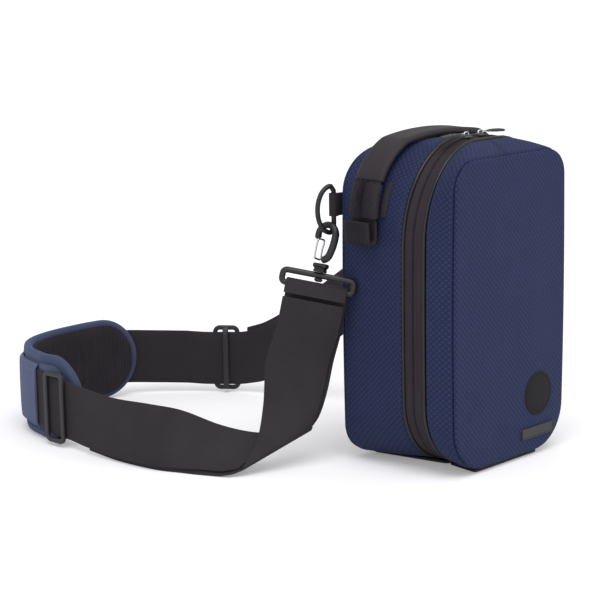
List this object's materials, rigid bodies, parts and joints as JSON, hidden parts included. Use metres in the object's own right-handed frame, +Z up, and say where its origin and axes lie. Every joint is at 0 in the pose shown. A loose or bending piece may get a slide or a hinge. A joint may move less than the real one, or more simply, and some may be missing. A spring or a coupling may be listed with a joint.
{
  "type": "shoulder bag",
  "caption": "Padded clamshell shoulder bag with a zip round its rim, a carrying handle and a detachable webbing strap with a shoulder pad.",
  "frame": {"origin": "on the resting plane, in the middle of the case's width, below the zip's closing line", "axes": "+Z up, front face towards -Y, +X across the case; the strap lies behind and to the -X side"},
  "size_m": [0.3015, 0.4225, 0.2648],
  "materials": {
    "navy_fabric": "woven, matt",
    "navy_binding": "folded binding tape, matt",
    "black_webbing": "twill webbing, matt",
    "black_fabric": "woven, matt",
    "black_mesh": "ribbed knit, matt",
    "black_metal": "satin black coating",
    "black_rubber": "satin",
    "steel_wire": "bright"
  },
  "bodies": {
    "root": {"rear_gusset": "navy_fabric", "back_panel": "navy_fabric", "rear_lining": "black_fabric", "zip_tape_rear": "black_fabric", "zip_coil_rear": "black_metal", "rear_piping": "black_rubber", "hinge_tape": "black_fabric", "rear_base_panel": "black_fabric", "handle_keeper_left": "black_webbing", "handle_keeper_right": "black_webbing", "ring_tab_left": "black_webbing", "strap_frame_left": "black_metal", "swivel_pin_left": "black_metal", "ring_tab_right": "black_webbing", "strap_frame_right": "black_metal", "swivel_pin_right": "black_metal", "strap_near": "black_webbing", "strap_near_return": "black_webbing", "strap_far": "black_webbing", "strap_far_return": "black_webbing", "strap_middle": "black_webbing", "pad_core": "navy_fabric", "pad_mesh": "black_mesh", "pad_binding": "navy_binding", "pad_sleeve": "navy_fabric"},
    "lid": {"lid_gusset": "navy_fabric", "front_panel": "navy_fabric", "lid_lining": "black_fabric", "zip_tape_front": "black_fabric", "zip_coil_front": "black_metal", "front_piping": "black_rubber", "lid_base_panel": "black_fabric", "badge": "black_fabric", "label": "black_rubber"},
    "slider_left": {"zip_slider_left": "steel_wire", "zip_bridge_left": "steel_wire"},
    "pull_left": {"zip_pull_left": "black_rubber"},
    "ring_left": {"ring_left": "black_metal"},
    "hook_left": {"hook_left": "black_metal", "hook_base_left": "black_metal", "hook_collar_left": "black_metal"},
    "gate_left": {"gate_left": "steel_wire"},
    "slider_right": {"zip_slider_right": "steel_wire", "zip_bridge_right": "steel_wire"},
    "pull_right": {"zip_pull_right": "black_rubber"},
    "ring_right": {"ring_right": "black_metal"},
    "hook_right": {"hook_right": "black_metal", "hook_base_right": "black_metal", "hook_collar_right": "black_metal"},
    "gate_right": {"gate_right": "steel_wire"},
    "handle": {"handle_webbing": "black_webbing", "handle_grip": "black_rubber", "handle_stop_left": "black_webbing", "handle_stop_right": "black_webbing"},
    "adjuster_near": {"adjuster_near": "black_metal"},
    "adjuster_far": {"adjuster_far": "black_metal"}
  },
  "joints": [
    {"name": "lid_hinge", "type": "hinge", "parent": "root", "child": "lid", "pos_m": [0, -0.0053, 0], "axis": [1, 0, 0], "range_deg": [0, 95]},
    {"name": "handle_lift", "type": "slide", "parent": "root", "child": "handle", "axis": [0, 0, 1], "range_m": [0, 0.0025]},
    {"name": "zip_slide_left", "type": "slide", "parent": "root", "child": "slider_left", "axis": [-1, 0, 0], "range_m": [0, 0.01]},
    {"name": "pull_flip_left", "type": "hinge", "parent": "slider_left", "child": "pull_left", "pos_m": [-0.0165, -0.0053, 0.2622], "axis": [0, 1, 0], "range_deg": [0, 100]},
    {"name": "ring_swing_left", "type": "hinge", "parent": "root", "child": "ring_left", "pos_m": [-0.0811, 0.0743, 0.2045], "axis": [0, 0, 1], "range_deg": [-3, 3]},
    {"name": "hook_swivel_left", "type": "hinge", "parent": "root", "child": "hook_left", "pos_m": [-0.08753, 0.0752, 0.18663], "axis": [0.29, -0.01, 0.957], "range_deg": [-3, 3]},
    {"name": "gate_press_left", "type": "hinge", "parent": "hook_left", "child": "gate_left", "pos_m": [-0.09424, 0.07961, 0.16562], "axis": [0.9544, 0.0775, -0.2884], "range_deg": [0, 25], "stiffness_Nm_per_rad": 0.02, "springref_deg": -11.46},
    {"name": "zip_slide_right", "type": "slide", "parent": "root", "child": "slider_right", "axis": [1, 0, 0], "range_m": [0, 0.01]},
    {"name": "pull_flip_right", "type": "hinge", "parent": "slider_right", "child": "pull_right", "pos_m": [0.006, -0.0053, 0.2622], "axis": [0, -1, 0], "range_deg": [0, 100]},
    {"name": "ring_swing_right", "type": "hinge", "parent": "root", "child": "ring_right", "pos_m": [0.0811, 0.0743, 0.2045], "axis": [0, 0, 1], "range_deg": [-3, 3]},
    {"name": "hook_swivel_right", "type": "hinge", "parent": "root", "child": "hook_right", "pos_m": [0.08378, 0.0843, 0.18898], "axis": [0.1201, -0.6608, 0.7409], "range_deg": [-3, 3]},
    {"name": "gate_press_right", "type": "hinge", "parent": "hook_right", "child": "gate_right", "pos_m": [0.08502, 0.0981, 0.17126], "axis": [-0.3552, -0.7255, -0.5895], "range_deg": [0, 25], "stiffness_Nm_per_rad": 0.02, "springref_deg": -11.46},
    {"name": "adjuster_slide_near", "type": "slide", "parent": "root", "child": "adjuster_near", "axis": [0, 1, 0], "range_m": [-0.01, 0.003]},
    {"name": "adjuster_slide_far", "type": "slide", "parent": "root", "child": "adjuster_far", "axis": [0.6, -0.8, 0], "range_m": [-0.008, 0.002]}
  ]
}
